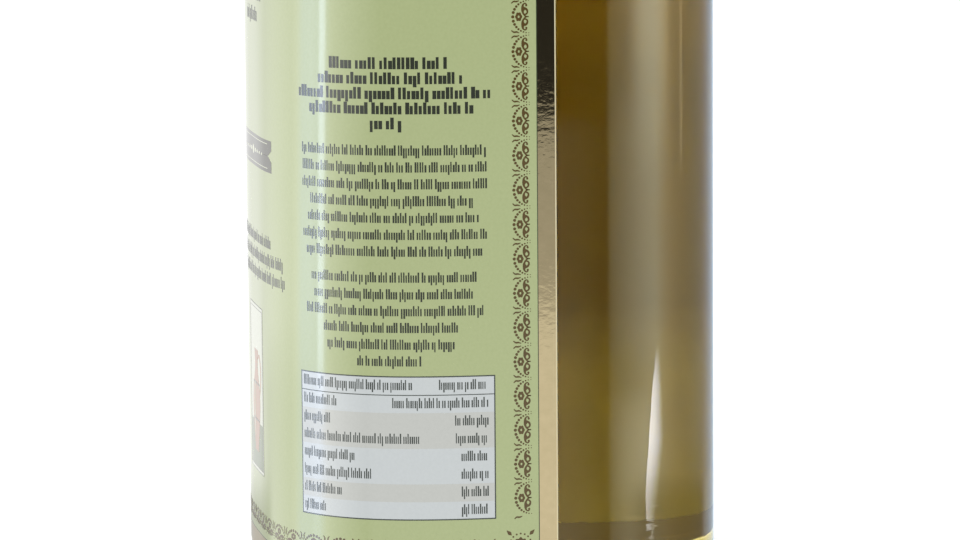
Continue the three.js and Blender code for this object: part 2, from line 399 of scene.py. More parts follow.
def strip(shape, left, right, low, high, finish=0, closed=False):
    """A thin closed solid between two flat lines of points, bent round the body."""
    count = len(left)
    points = np.concatenate([
        on_body(left, low), on_body(right, low), on_body(left, high), on_body(right, high)])
    l0, r0, l1, r1 = (list(range(k * count, (k + 1) * count)) for k in range(4))
    faces = []
    for i in range(count if closed else count - 1):
        j = (i + 1) % count
        faces += [
            (r1[i], r1[j], l1[j], l1[i]),
            (l0[i], l0[j], r0[j], r0[i]),
            (r0[i], r0[j], r1[j], r1[i]),
            (l1[i], l1[j], l0[j], l0[i]),
        ]
    if not closed:
        faces += [(l0[0], r0[0], r1[0], l1[0]), (r0[-1], l0[-1], l1[-1], r1[-1])]
    shape.add(points, faces, finish)


def make_paper(varnish, back, cut_edge):
    """One sheet of paper, varnished outside, with its cut edges showing at its rim."""
    shape = Shape()
    columns = stops(LABEL_LEFT, LABEL_RIGHT)
    strip(shape, [(s, LABEL_HIGH) for s in columns], [(s, LABEL_LOW) for s in columns],
          -LABEL_SUNK, PAPER_TOP)
    shape.finishes = [0, 1, 2, 2] * (len(columns) - 1) + [2, 2]
    add_piece("label_sheet", shape, [varnish, back, cut_edge], "label_paper")


def frame_outline(inset):
    """The points of the label's outline, set in."""
    left, right = LABEL_LEFT + inset, LABEL_RIGHT - inset
    low, high = LABEL_LOW + inset, LABEL_HIGH - inset
    across = np.linspace(left, right, len(stops(LABEL_LEFT, LABEL_RIGHT)))
    along = np.linspace(low, high, len(stops(LABEL_LOW, LABEL_HIGH)))
    return [
        *[(s, low) for s in across[:-1]],
        *[(right, z) for z in along[:-1]],
        *[(s, high) for s in across[:0:-1]],
        *[(left, z) for z in along[:0:-1]],
    ]


def make_foil(finish):
    shape = Shape()
    strip(shape, frame_outline(FOIL_INNER), frame_outline(FOIL_MARGIN),
          PAPER_TOP - INK_SUNK, PAPER_TOP + FOIL_THICKNESS, closed=True)
    add_piece("label_foil", shape, [finish], "label_gold_edge")


# Print: thin plates of ink on the varnished paper. Flat points are (distance round, height).

def inked(shape, upper, lower, layer=0, finish=0, closed=False):
    """A printed patch between two lines of points, a little prouder on a higher layer."""
    strip(shape, upper, lower, PAPER_TOP - INK_SUNK, PAPER_TOP + INK_THICKNESS + INK_LAYER * layer,
          finish, closed)


def patch(shape, left, right, low, high, layer=0, finish=0):
    columns = stops(left, right)
    inked(shape, [(s, high) for s in columns], [(s, low) for s in columns], layer, finish)


def blob(shape, s, z, half_s, half_z, layer=0, finish=0, columns=5):
    """A printed dot or ellipse."""
    turns = np.linspace(0.94, 0.06, columns) * pi
    upper = [(s + half_s * cos(a), z + half_z * sin(a)) for a in turns]
    lower = [(s + half_s * cos(a), z - half_z * sin(a)) for a in turns]
    inked(shape, upper, lower, layer, finish)


def ring(shape, outer, inner, layer=0, finish=0):
    inked(shape, outer, inner, layer, finish, closed=True)


def circle(s, z, radius, count=48, waves=0, depth=0.0, stretch=1.0):
    """The outline of a circle, or of a flower with as many petals as waves."""
    turns = np.linspace(0, 2 * pi, count, endpoint=False)
    radii = radius * (1 + depth * np.cos(waves * turns))
    return [(s + r * cos(a), z + r * stretch * sin(a)) for r, a in zip(radii, turns)]


def smooth_line(points, steps=4):
    """A smooth line through a few points, which may carry more numbers, such as a width."""
    known = np.asarray(points, float)
    ends = np.concatenate([[2 * known[0] - known[1]], known, [2 * known[-1] - known[-2]]])
    line = []
    for a, b, c, d in zip(ends, ends[1:], ends[2:], ends[3:]):
        for t in np.arange(steps) / steps:
            line.append(0.5 * (2 * b + (c - a) * t + (2 * a - 5 * b + 4 * c - d) * t ** 2
                               + (3 * b - a - 3 * c + d) * t ** 3))
    return np.array([*line, known[-1]])


def stroke(shape, points, layer=0, finish=0, steps=4):
    """A pen stroke through (s, z, half width) points."""
    line = smooth_line(points, steps)
    along = np.gradient(line[:, :2], axis=0)
    along /= np.hypot(*along.T)[:, None]
    aside = np.column_stack([-along[:, 1], along[:, 0]]) * np.maximum(line[:, 2:3], FINEST_LINE)
    inked(shape, line[:, :2] + aside, line[:, :2] - aside, layer, finish)


# The border: a lace of dotted arches, each over a flower and a pair of scrolls. A unit is drawn
# along and across the border, from its inner side at 0 to its outer side at BORDER_WIDTH. The units
# are at most BORDER_PITCH apart, and the pen strokes are (along, across, half width) points.
BORDER_PITCH = 5.75
BORDER_WIDTH = 3.2
BORDER_INSET = 4.2
BORDER_CORNER = 7.7
ARCH_DOTS = 9
ARCH_HALF_SPAN = 2.65
ARCH_FOOT = 0.30
ARCH_RISE = 2.65
ARCH_SPACING = 0.85
DOT_RADIUS = 0.27
DOT_SHRINK = 0.19
DOT_SHRINK_POWER = 1.3
SCROLL = [(1.85, 2.56, 0.15), (2.07, 2.51, 0.11), (2.18, 2.30, 0.10), (1.97, 2.03, 0.14),
          (1.64, 1.95, 0.21), (1.28, 2.03, 0.33), (0.90, 1.94, 0.21), (0.54, 2.05, 0.15),
          (0.30, 2.22, 0.14), (0.07, 2.45, 0.12), (-0.06, 2.95, 0.05)]
SCROLL_LOOP = [(1.40, 2.23, 0.18), (1.22, 2.55, 0.18), (0.94, 2.72, 0.16), (0.63, 2.71, 0.14),
               (0.43, 2.52, 0.13), (0.38, 2.27, 0.11)]
SCROLL_BALL = (1.85, 2.54, 0.18)
BRACKET = [(3.47, 0.07, 0.07), (3.17, 0.45, 0.12), (3.20, 0.88, 0.13), (3.05, 1.38, 0.05)]
FLOWER_ACROSS = 1.28
FLOWER_RADIUS = 0.55
FLOWER_EYE = 0.16
FLOWER_STRETCH = 1.32
PETALS = 6
PETAL_DEPTH = 0.10
CORNER_SHIFT = 0.2
CORNER_FLOWER = (1.05, 48, 8, 0.12)
CORNER_EYE = 0.35
CORNER_DOTS = 16
CORNER_RING = 1.75
CORNER_DOT = 0.16
CORNER_LEAF = ((2.15, 0.05), (2.6, 0.3), (2.95, 0.18), (3.3, 0.03))


def border_unit(shape, place):
    """One arch of the border. place() turns (along, across) into a flat point."""
    middle = place(0, FLOWER_ACROSS)
    upright = abs(place(1, 0)[1] - place(0, 0)[1]) > 0.5
    stretch = FLOWER_STRETCH if upright else 1 / FLOWER_STRETCH
    grown = 1 if upright else FLOWER_STRETCH
    depth = PETAL_DEPTH if upright else -PETAL_DEPTH
    ring(shape, circle(*middle, FLOWER_RADIUS * grown, 24, PETALS, depth, stretch),
         circle(*middle, FLOWER_EYE * grown, 24, stretch=stretch), 1)
    for side in (-1, 1):
        for i in range(0 if side > 0 else 1, ARCH_DOTS):
            part = i / (ARCH_DOTS - 1)
            turn = part ** ARCH_SPACING * pi / 2
            along = side * ARCH_HALF_SPAN * sin(turn)
            across = ARCH_FOOT + ARCH_RISE * (1 - cos(turn))
            radius = DOT_RADIUS - DOT_SHRINK * part ** DOT_SHRINK_POWER
            blob(shape, *place(along, across), radius, radius)
        for k, line in enumerate((SCROLL, SCROLL_LOOP, BRACKET)):
            stroke(shape, [(*place(side * u, v), half) for u, v, half in line], 1 + k, steps=3)
        u, v, radius = SCROLL_BALL
        blob(shape, *place(side * u, v), radius, radius, 3)


def corner_flower(shape, s, z):
    """A flower in a ring of dots, with a small leaf towards each corner."""
    ring(shape, circle(s, z, *CORNER_FLOWER), circle(s, z, CORNER_EYE), 1)
    for turn in np.arange(CORNER_DOTS) * 2 * pi / CORNER_DOTS:
        blob(shape, s + CORNER_RING * cos(turn), z + CORNER_RING * sin(turn), CORNER_DOT,
             CORNER_DOT)
    for turn in (np.arange(4) + 0.5) * pi / 2:
        line = [(s + r * cos(turn), z + r * sin(turn), half) for r, half in CORNER_LEAF]
        stroke(shape, line, 1)


def make_border():
    shape = Shape()
    inner = BORDER_INSET + BORDER_WIDTH
    middle = inner - FLOWER_ACROSS + CORNER_SHIFT
    ends = [LABEL_LEFT + middle + BORDER_CORNER, LABEL_RIGHT - middle - BORDER_CORNER]
    for s in stops(*ends, BORDER_PITCH):
        border_unit(shape, lambda u, v, s=s: (s + u, LABEL_LOW + inner - v))
        border_unit(shape, lambda u, v, s=s: (s + u, LABEL_HIGH - inner + v))
    ends = [LABEL_LOW + middle + BORDER_CORNER, LABEL_HIGH - middle - BORDER_CORNER]
    for z in stops(*ends, BORDER_PITCH):
        border_unit(shape, lambda u, v, z=z: (LABEL_LEFT + inner - v, z + u))
        border_unit(shape, lambda u, v, z=z: (LABEL_RIGHT - inner + v, z + u))
    for s in (LABEL_LEFT + middle, LABEL_RIGHT - middle):
        for z in (LABEL_LOW + middle, LABEL_HIGH - middle):
            corner_flower(shape, s, z)
    add_print("border_print", shape, "brown")


def make_edge_lines():
    """The thin dark line that the gold edge meets, and the bare paper left outside it."""
    shape = Shape()
    ring(shape, frame_outline(FOIL_INNER - EDGE_OVERLAP), frame_outline(FOIL_INNER + EDGE_LINE))
    ring(shape, frame_outline(0.0), frame_outline(FOIL_MARGIN + EDGE_OVERLAP), finish=1)
    add_print("edge_lines", shape, "line", "margin")


# Small print: rows of plain upright marks with word gaps, which are no letters. Heights and depths
# are shares of a plain mark's height, and the word gap is one of the pitch.

MARK_GAP = 0.12
MARKS_IN_WORD = (2, 9)
WORD_GAP = 0.7
TALL_ABOVE = 0.66
TALL_HEIGHT = 1.4
TAIL_BELOW = 0.1
TAIL_DEPTH = 0.36
WEIGHT_RANGE = (0.8, 1.2)
FIRST_BASE = 1.42
RIGHT_MIDDLE = 43.3
LEFT_MIDDLE = -57.0
# Blocks of centred rows: middle, top, pitch, half widths, and the height and half width of a mark.
TEXT_BLOCKS = [
    (RIGHT_MIDDLE, 96.7, 2.46, (10.3, 12.6, 17.2, 14.6, 3.0), 1.38, 0.28),
    (RIGHT_MIDDLE, 82.3, 2.77, (16.5, 16.4, 16.5, 14.6, 15.2, 16.4, 15.6), 1.2, 0.13),
    (RIGHT_MIDDLE, 61.4, 2.77, (14.5, 13.9, 15.7, 11.9, 11.2, 5.6), 1.2, 0.125),
    (0, 65.0, 3.0, (14.7, 20.6, 21.0), 1.45, 0.19),
    (0, 106.5, 3.6, (10.0, 6.0), 1.7, 0.16),
    (LEFT_MIDDLE, 113.0, 2.6, (13.0, 15.5, 8.0), 1.25, 0.22),
    (LEFT_MIDDLE, 101.0, 2.77, (16.5, 15.7, 14.9) * 3 + (7.0,), 1.2, 0.13),
    (LEFT_MIDDLE, 40.0, 2.77, (15.5, 16.3, 14.8, 16.0, 9.0), 1.2, 0.13),
]


def mark_row(shape, draw, left, right, base, height, weight, layer=0, finish=0):
    """One row of marks. draw is its own random generator, and weight is a mark's half width."""
    s = left
    pitch = weight * 2 + height * MARK_GAP
    while s < right - pitch:
        for _ in range(min(draw.randint(*MARKS_IN_WORD), int((right - s) / pitch))):
            kind = draw.random()
            top = height * (TALL_HEIGHT if kind > TALL_ABOVE else 1.0)
            bottom = -TAIL_DEPTH * height if kind < TAIL_BELOW else 0.0
            thick = 2 * weight * draw.uniform(*WEIGHT_RANGE)
            patch(shape, s, s + thick, base + bottom, base + top, layer, finish)
            s += pitch
        s += pitch * WORD_GAP


def make_small_print():
    draw = random.Random(5)
    shape = Shape()
    for middle, top, pitch, half_widths, height, weight in TEXT_BLOCKS:
        for k, half in enumerate(half_widths):
            base = top - pitch * k - FIRST_BASE * height
            mark_row(shape, draw, middle - half, middle + half, base, height, weight)
    add_print("small_print", shape, "dark")


# Table of a head line and rows, each with an entry at its left and one at its right.
TABLE_SIDES = (26.0, 60.5)
TABLE_LOW, TABLE_HIGH = 20.3, 44.1
TABLE_LINE = 0.1
RULE_LINE = 0.07
HEADER_HEIGHT = 3.05
TABLE_ROWS = 7
SHADED_ROWS = (1, 2, 5)
LEFT_ENTRIES = (20.6, 7.6, 6.4, 21.6, 11.0, 13.6, 8.3, 5.0)
RIGHT_ENTRIES = (8.3, 16.0, 5.7, 5.6, 4.7, 4.7, 4.7, 4.7)
ENTRY_MARGINS = (0.6, 0.9)
ENTRY_DROP = 0.65
ENTRY_HEIGHT = 1.2
ENTRY_WEIGHT = 0.1
WHITE_FIELD, SHADED_FIELD, DARK_LINE = range(3)


def make_table():
    draw = random.Random(11)
    shape = Shape()
    left, right = TABLE_SIDES
    rule = TABLE_HIGH - HEADER_HEIGHT
    height = (rule - TABLE_LOW) / TABLE_ROWS
    columns = stops(left, right)

    def outline(out):
        across = [left - out, *columns[1:-1], right + out]
        upper = [(s, TABLE_HIGH + out) for s in across]
        return upper + [(s, TABLE_LOW - out) for s in reversed(across)]

    patch(shape, left, right, TABLE_LOW, TABLE_HIGH, 0, WHITE_FIELD)
    for row in SHADED_ROWS:
        patch(shape, left, right, rule - height * (row + 1), rule - height * row, 1, SHADED_FIELD)
    ring(shape, outline(TABLE_LINE), outline(-TABLE_LINE), 3, DARK_LINE)
    patch(shape, left, right, rule - RULE_LINE, rule + RULE_LINE, 3, DARK_LINE)
    start, end = left + ENTRY_MARGINS[0], right - ENTRY_MARGINS[1]
    for k, (first, last) in enumerate(zip(LEFT_ENTRIES, RIGHT_ENTRIES)):
        middle = TABLE_HIGH - HEADER_HEIGHT / 2 if k == 0 else rule - height * (k - 0.5)
        for entry in ((start, start + first), (end - last, end)):
            mark_row(shape, draw, *entry, middle - ENTRY_DROP, ENTRY_HEIGHT, ENTRY_WEIGHT, 4,
                     DARK_LINE)
    add_print("printed_table", shape, "white", "shade", "table")


# Drawings: olive sprigs, a wreath round a drop, a plain ribbon and a framed jug.
LEAF, OLIVE, STEM, SHINE = range(4)
LEAF_RIB = 0.07
STEM_HALF_WIDTH = 0.16
LEAF_WIDTH = 0.26
LEAF_TURN = 0.75
LEAF_SHORTENING = 0.35
OLIVE_SIZE = 2.6
OLIVE_TURN = 1.5
OLIVE_STALK = 1.6
SPRIG_STEM = [(-13, 117), (-4, 121), (5, 121), (13, 125)]
SPRIG_OLIVES = [(1, -1), (3, 1), (4, -1), (6, 1)]
SMALL_SPRIG_STEM = [(-10, 50), (0, 52.5), (10, 50)]
WREATH_Z = 126.5
WREATH_RADIUS = 12.5
WREATH_SPAN = (-80, 62)
WREATH_LEAF = 4.6
WREATH_LINE = 0.25
DROP_HALF_WIDTH = 2.3
DROP_HALF_HEIGHT = 3.4
DROP_POINT = 1.4
DROP_Z = WREATH_Z - 0.4
DROP_CORE_Z = WREATH_Z - 0.9
DROP_CORE = 0.1


def leaf(shape, s, z, angle, length, width):
    """A pointed leaf with a pale rib."""
    ahead, up = cos(angle), sin(angle)
    parts = np.linspace(0.02, 0.98, 9)
    halves = width / 2 * np.sin(parts * pi) ** 0.8
    spine = [(s + ahead * length * t, z + up * length * t) for t in parts]
    upper = [(x - up * h, y + ahead * h) for (x, y), h in zip(spine, halves)]
    lower = [(x + up * h, y - ahead * h) for (x, y), h in zip(spine, halves)]
    inked(shape, upper, lower, 1, LEAF)
    stroke(shape, [(x, y, LEAF_RIB) for x, y in spine[1:-1:3]], 3, SHINE, steps=2)


def olive(shape, s, z):
    """An olive with a pale spot on it."""
    blob(shape, s, z, OLIVE_SIZE * 0.42, OLIVE_SIZE * 0.5, 3, OLIVE, 9)
    blob(shape, s - OLIVE_SIZE * 0.14, z + OLIVE_SIZE * 0.16, OLIVE_SIZE * 0.09,
         OLIVE_SIZE * 0.13, 5, SHINE)


def sprig(shape, line, leaves, leaf_length, olives):
    """A stem along a line, with leaves to both sides and olives at some of its nodes."""
    path = smooth_line([(*point, STEM_HALF_WIDTH) for point in line], 8)
    stroke(shape, path[::4], 2, STEM, steps=2)
    for k in range(leaves):
        i = int((k + 0.7) / (leaves + 0.2) * (len(path) - 2))
        heading = atan2(*(path[i + 1] - path[i])[1::-1])
        s, z = path[i][:2]
        for side in (-1, 1):
            length = leaf_length * (1.0 - LEAF_SHORTENING * k / leaves)
            leaf(shape, s, z, heading + side * LEAF_TURN, length, length * LEAF_WIDTH)
            if (k, side) in olives:
                turn = heading + side * OLIVE_TURN
                olive(shape, s + OLIVE_STALK * cos(turn), z + OLIVE_STALK * sin(turn))
    leaf(shape, *path[-1][:2], heading, leaf_length * 0.6, leaf_length * 0.16)


def wreath(shape):
    """Two bent sprigs round a thin circle and a drop."""
    for side in (-1, 1):
        turns = np.radians(np.linspace(*WREATH_SPAN, 6))
        line = [(side * WREATH_RADIUS * cos(a), WREATH_Z + WREATH_RADIUS * sin(a))
                for a in turns]
        sprig(shape, line, 7, WREATH_LEAF, [(1, side), (3, -side), (5, side)])
    inside = WREATH_RADIUS - WREATH_LEAF
    ring(shape, circle(0, WREATH_Z, inside, 64), circle(0, WREATH_Z, inside - WREATH_LINE, 64), 2,
         STEM)
    drop = [(DROP_HALF_WIDTH * sin(turn) * sin(turn / 2) ** DROP_POINT,
             DROP_Z + DROP_HALF_HEIGHT * cos(turn))
            for turn in np.linspace(0, 2 * pi, 40, endpoint=False)]
    core = [(s * DROP_CORE, DROP_CORE_Z + (z - DROP_CORE_Z) * DROP_CORE) for s, z in drop]
    ring(shape, drop, core, 2, OLIVE)


def make_sprigs():
    shape = Shape()
    wreath(shape)
    for middle, side, lift in ((RIGHT_MIDDLE, 1, 0), (LEFT_MIDDLE, -1, 4)):
        stem = [(middle + side * s, z + lift) for s, z in SPRIG_STEM]
        sprig(shape, stem, 8, 6.5, [(k, side * way) for k, way in SPRIG_OLIVES])
    stem = [(LEFT_MIDDLE + s, z) for s, z in SMALL_SPRIG_STEM]
    sprig(shape, stem, 7, 5.0, [(2, 1), (4, -1)])
    add_print("printed_sprigs", shape, "leaf", "olive", "stem", "shine")


RIBBON_LOW, RIBBON_HIGH = 75.8, 81.2
RIBBON_END = 15.5
RIBBON_NOTCH = 2.0
RIBBON_LINE = 0.12
RIBBON_LINE_END = RIBBON_END - 2.4
RIBBON_DOT = 0.8
RIBBON_DOT_PITCH = 2.2


def make_ribbon():
    """A plain band with notched ends, two fine lines and a row of dots."""
    shape = Shape()
    middle = (RIBBON_LOW + RIBBON_HIGH) / 2
    columns = stops(-RIBBON_END, RIBBON_END)
    notch = [max(0, 1 - (RIBBON_END - abs(s)) / RIBBON_NOTCH) for s in columns]
    inked(shape, [(s, RIBBON_HIGH) for s in columns],
          [(s, middle + 0.05 + n) for s, n in zip(columns, notch)])
    inked(shape, [(s, middle + 0.1 - n) for s, n in zip(columns, notch)],
          [(s, RIBBON_LOW) for s in columns])
    for z in (RIBBON_LOW + 0.6, RIBBON_HIGH - 0.7):
        patch(shape, -RIBBON_LINE_END, RIBBON_LINE_END, z, z + RIBBON_LINE, 2, 1)
    blob(shape, 0, middle, RIBBON_DOT, RIBBON_DOT, 2, 1, 9)
    for side in (-1, 1):
        for k in range(4):
            blob(shape, side * RIBBON_DOT_PITCH * (k + 1), middle, 0.75 - 0.1 * k,
                 0.35 - 0.04 * k, 2, 1, 7)
    add_print("printed_ribbon", shape, "stem", "shine")


PICTURE_HALF_WIDTH = 7.3
PICTURE_LOW, PICTURE_HIGH = 23.2, 51.9
FRAME_GAP = 0.6
FRAME_LINE = 0.14
FRAME_SIDE = 0.08
GROUND_HEIGHT = 8.5
JUG_LOW = PICTURE_LOW + 3.4
JUG_HEIGHT = 17.5
JUG_PARTS = (0, 0.05, 0.2, 0.45, 0.62, 0.78, 0.86, 0.95, 1.0)
JUG_HALF_WIDTHS = (2.0, 1.9, 3.1, 4.1, 3.6, 1.7, 1.4, 1.7, 2.1)
JUG_SHINE = (-0.62, -0.42)
JUG_HANDLE = [(1.8, 0.93, 0.3), (3.6, 0.95, 0.32), (4.9, 0.82, 0.34), (4.6, 0.66, 0.3),
              (3.4, 0.56, 0.26)]
JUG_BAND = 0.3
JUG_BAND_END = 3.4
FIELD, LINE, JUG, GROUND = range(4)


def jug_line(parts, share):
    """A line up the jug at a share of its half width. A part is 0 at its foot and 1 at its rim."""
    return [(share * np.interp(t, JUG_PARTS, JUG_HALF_WIDTHS), JUG_LOW + JUG_HEIGHT * t)
            for t in parts]


def make_picture():
    """A framed picture of a jug on the ground."""
    shape = Shape()
    half, low, high = PICTURE_HALF_WIDTH, PICTURE_LOW, PICTURE_HIGH
    inside = half - FRAME_GAP
    patch(shape, -half, half, low, high, 0, FIELD)
    patch(shape, -inside, inside, low + FRAME_GAP, low + GROUND_HEIGHT, 1, GROUND)
    for edge in (half, inside):
        bottom, top = low + half - edge, high + edge - half
        patch(shape, -edge, edge, top - FRAME_LINE, top, 2, LINE)
        patch(shape, -edge, edge, bottom, bottom + FRAME_LINE, 2, LINE)
        for s in (-edge, edge):
            patch(shape, s - FRAME_SIDE, s + FRAME_SIDE, bottom, top, 2, LINE)
    parts = np.linspace(0, 1, 29)
    inked(shape, jug_line(parts, -1), jug_line(parts, 1), 4, JUG)
    inked(shape, *[jug_line(parts[4:20], share) for share in JUG_SHINE], 6, FIELD)
    handle = [(s, JUG_LOW + JUG_HEIGHT * t, half_width) for s, t, half_width in JUG_HANDLE]
    stroke(shape, handle, 3, JUG)
    for t in (0.3, 0.66):
        z = JUG_LOW + JUG_HEIGHT * t
        patch(shape, -JUG_BAND_END, JUG_BAND_END, z, z + JUG_BAND, 6, LINE)
    add_print("printed_picture", shape, "field", "stem", "jug", "leaf")


# Materials.

NOISE_RANGE = (0.3, 0.7)
GLASS_WAVE = 0.02
OIL_DENSITY = 26.0
OIL_COLOUR = (0.923, 0.79, 0.0)
RIPPLE = 0.0004
FOOT_RIPPLE = 0.004
FOOT_RIPPLE_TOP = (16, 25)
COAT_ROUGHNESS = 0.08
VARNISH_WAVE = 0.01
LABEL_GREENS = ((0.412, 0.472, 0.236), (0.435, 0.495, 0.252))
INK_SPREAD = 0.06
EVEN_INK_SPREAD = 0.02
EVEN_INKS = ("white", "shade")
INKS = dict(
    brown=(0.105, 0.068, 0.022),
    line=(0.055, 0.075, 0.04),
    margin=(0.72, 0.66, 0.42),
    dark=(0.034, 0.040, 0.028),
    white=(0.585, 0.620, 0.625),
    shade=(0.550, 0.562, 0.530),
    table=(0.055, 0.066, 0.058),
    leaf=(0.107, 0.156, 0.042),
    olive=(0.069, 0.084, 0.021),
    stem=(0.048, 0.045, 0.023),
    shine=(0.73, 0.76, 0.55),
    field=(0.66, 0.69, 0.55),
    jug=(0.391, 0.174, 0.072),
)
# Painted light on the back of the label, seen through the oil: how far noise moves the bands'
# edges, and (height in millimetres, colour) marks, lighter low down and a little lighter near the
# top.
PAINTED_LIGHT_UNEVENNESS = 5.0
BACK_PAINTED_LIGHT = [(38, (0.85, 0.86, 0.70)), (50, (0.50, 0.47, 0.36)),
               (90, (0.50, 0.47, 0.36)), (106, (0.61, 0.56, 0.42))]


class Finish:
    """A material with its Principled shader, and short ways to add nodes."""

    def __init__(self, name, **values):
        self.material = bpy.data.materials.new(name)
        self.material.use_nodes = True
        self.tree = self.material.node_tree
        self.shader = self.tree.nodes["Principled BSDF"]
        self.output = self.tree.nodes["Material Output"]
        self.places = self.node("TexCoord").outputs["Object"]
        for socket, value in values.items():
            self.shader.inputs[socket.replace("_", " ")].default_value = value

    def link(self, socket, source):
        """Gives a socket its value: a number, or another node's output."""
        if isinstance(source, (int, float)):
            socket.default_value = source
        else:
            self.tree.links.new(socket, source)

    def node(self, kind, links=(), **values):
        """Adds a node, with (socket, source) links, and values for its settings or sockets."""
        made = self.tree.nodes.new("ShaderNode" + kind)
        for key, value in values.items():
            if hasattr(made, key):
                setattr(made, key, value)
            else:
                made.inputs[key.replace("_", " ")].default_value = value
        for socket, source in links:
            self.link(made.inputs[socket], source)
        return made

    def math(self, operation, *terms):
        made = self.node("Math", operation=operation)
        for socket, term in zip(made.inputs, terms):
            self.link(socket, term)
        return made.outputs["Value"]

    def product(self, first, second):
        return self.math("MULTIPLY", first, second)

    def rest(self, part):
        """1 less a value."""
        return self.math("SUBTRACT", 1.0, part)

    def mix(self, part, first, second):
        made = self.node("Mix", [("Factor", part), ("A", first), ("B", second)], data_type="FLOAT")
        return made.outputs["Result"]

    def step(self, value, low, high):
        """Rises smoothly from 0 at low to 1 at high."""
        made = self.node("MapRange", [("Value", value)], interpolation_type="SMOOTHSTEP",
                         From_Min=low, From_Max=high)
        return made.outputs["Result"]

    def stretched(self, scale):
        return self.node("Mapping", [("Vector", self.places)], Scale=scale).outputs["Vector"]

    def height(self):
        return self.node("SeparateXYZ", [("Vector", self.places)]).outputs["Z"]

    def noise(self, size, detail=3.0, places=None):
        """Smooth noise with bumps of about a size in millimetres."""
        return self.node("TexNoise", [("Vector", places or self.places)],
                         Scale=1 / (size * MM), Detail=detail).outputs["Fac"]

    def ramp(self, source, *marks):
        """A colour read off (place, colour) marks by another value."""
        made = self.node("ValToRGB", [("Fac", source)])
        while len(made.color_ramp.elements) < len(marks):
            made.color_ramp.elements.new(0.5)
        for element, (place, colour) in zip(made.color_ramp.elements, marks):
            element.position = place
            element.color = (*colour, 1)
        return made.outputs["Color"]

    def colour(self, size, detail, *colours):
        """Base colour that runs between colours as a noise does."""
        shades = self.ramp(self.noise(size, detail), *zip(NOISE_RANGE, colours))
        self.link(self.shader.inputs["Base Color"], shades)

    def roughness(self, size, detail, low, high):
        made = self.node("MapRange", [("Value", self.noise(size, detail))], To_Min=low, To_Max=high)
        self.link(self.shader.inputs["Roughness"], made.outputs["Result"])

    def bump(self, source, height, socket="Normal", below=None):
        """Relief of a height in millimetres."""
        links = [("Height", source)]
        if below:
            links.append(("Normal", below))
        made = self.node("Bump", links, Distance=height * MM).outputs["Normal"]
        self.link(self.shader.inputs[socket], made)
        return made


def grey(value):
    return (value, value, value, 1.0)


def clear_glass(name, tint):
    finish = Finish(name, Roughness=0.0, IOR=1.5, Transmission_Weight=1.0, Specular_Tint=tint)
    finish.colour(40, 3.0, (0.985, 0.995, 0.985), (0.995, 1.0, 0.995))
    waves = finish.bump(finish.noise(26, 1.0), GLASS_WAVE)
    ripples = finish.noise(1.1, 2.0, finish.stretched((0.2, 0.2, 1)))
    low = finish.rest(finish.step(finish.height(), *[z * MM for z in FOOT_RIPPLE_TOP]))
    strength = finish.math("ADD", RIPPLE, finish.product(low, FOOT_RIPPLE))
    finish.bump(finish.product(ripples, strength), 1.0, below=waves)
    return finish.material


def oil_finish():
    finish = Finish("oil", Roughness=0.0, IOR=1.47, Transmission_Weight=1.0,
                    Specular_Tint=grey(0.0))
    finish.colour(30, 3.0, (1.0, 0.99, 0.96), (1.0, 0.995, 0.975))
    absorption = finish.node("VolumeAbsorption", Density=OIL_DENSITY, Color=(*OIL_COLOUR, 1))
    finish.link(finish.output.inputs["Volume"], absorption.outputs["Volume"])
    return finish.material


def varnished(name, *colours):
    """Printed paper under a gloss varnish."""
    finish = Finish(name, Coat_Weight=1.0, Coat_Roughness=COAT_ROUGHNESS,
                    Specular_IOR_Level=0.0)
    finish.colour(0.5, 5.0, *colours)
    finish.roughness(0.3, 3.0, 0.45, 0.6)
    finish.bump(finish.noise(0.35, 4.0, finish.stretched((1, 1, 0.4))), 0.006)
    finish.bump(finish.noise(9.0, 1.0), VARNISH_WAVE, "Coat Normal")
    return finish.material


def ink(name):
    """A varnished ink that varies a little about its colour. Each one is made once."""
    spread = EVEN_INK_SPREAD if name in EVEN_INKS else INK_SPREAD
    colours = [[c * (1 + way * spread) for c in INKS[name]] for way in (-1, 1)]
    return bpy.data.materials.get("ink_" + name) or varnished("ink_" + name, *colours)


def uncoated(name):
    """Paper with no varnish, so its fibre shows."""
    finish = Finish(name, Specular_IOR_Level=0.2)
    finish.roughness(0.3, 3.0, 0.7, 0.85)
    finish.bump(finish.noise(0.25, 4.0), 0.01)
    return finish


def paper_cut():
    finish = uncoated("label_cut")
    finish.colour(0.8, 5.0, (0.54, 0.47, 0.28), (0.62, 0.54, 0.33))
    return finish.material


def paper_back_painted_light():
    """The back of the label, with painted light: lighter low down and a little lighter near the
    top, the bands' edges made uneven by noise.
    """
    finish = uncoated("label_back_painted_light")
    uneven = finish.product(finish.noise(6.0), PAINTED_LIGHT_UNEVENNESS * MM)
    height = finish.math("DIVIDE", finish.math("ADD", finish.height(), uneven), LABEL_HIGH * MM)
    shades = finish.ramp(height, *[(z / LABEL_HIGH, colour) for z, colour in BACK_PAINTED_LIGHT])
    finish.link(finish.shader.inputs["Base Color"], shades)
    return finish.material


def gold_foil():
    finish = Finish("gold_foil", Metallic=1.0)
    finish.colour(1.5, 4.0, (0.69, 0.575, 0.335), (0.74, 0.615, 0.365))
    finish.roughness(0.6, 4.0, 0.01, 0.05)
    ripple = finish.noise(1.8, 3.0, finish.stretched((1, 1, 1.8)))
    coarse = finish.bump(ripple, 0.0042)
    finish.bump(finish.noise(0.25, 3.0), 0.0001, below=coarse)
    return finish.material


def lacquered_metal():
    finish = Finish("cap_lacquer", Metallic=0.55, Coat_Weight=0.6, Coat_Roughness=0.12)
    finish.colour(0.25, 4.0, (0.042, 0.060, 0.018), (0.055, 0.075, 0.025))
    finish.roughness(1.2, 4.0, 0.3, 0.42)
    finish.bump(finish.noise(0.5, 3.0), 0.004)
    return finish.material


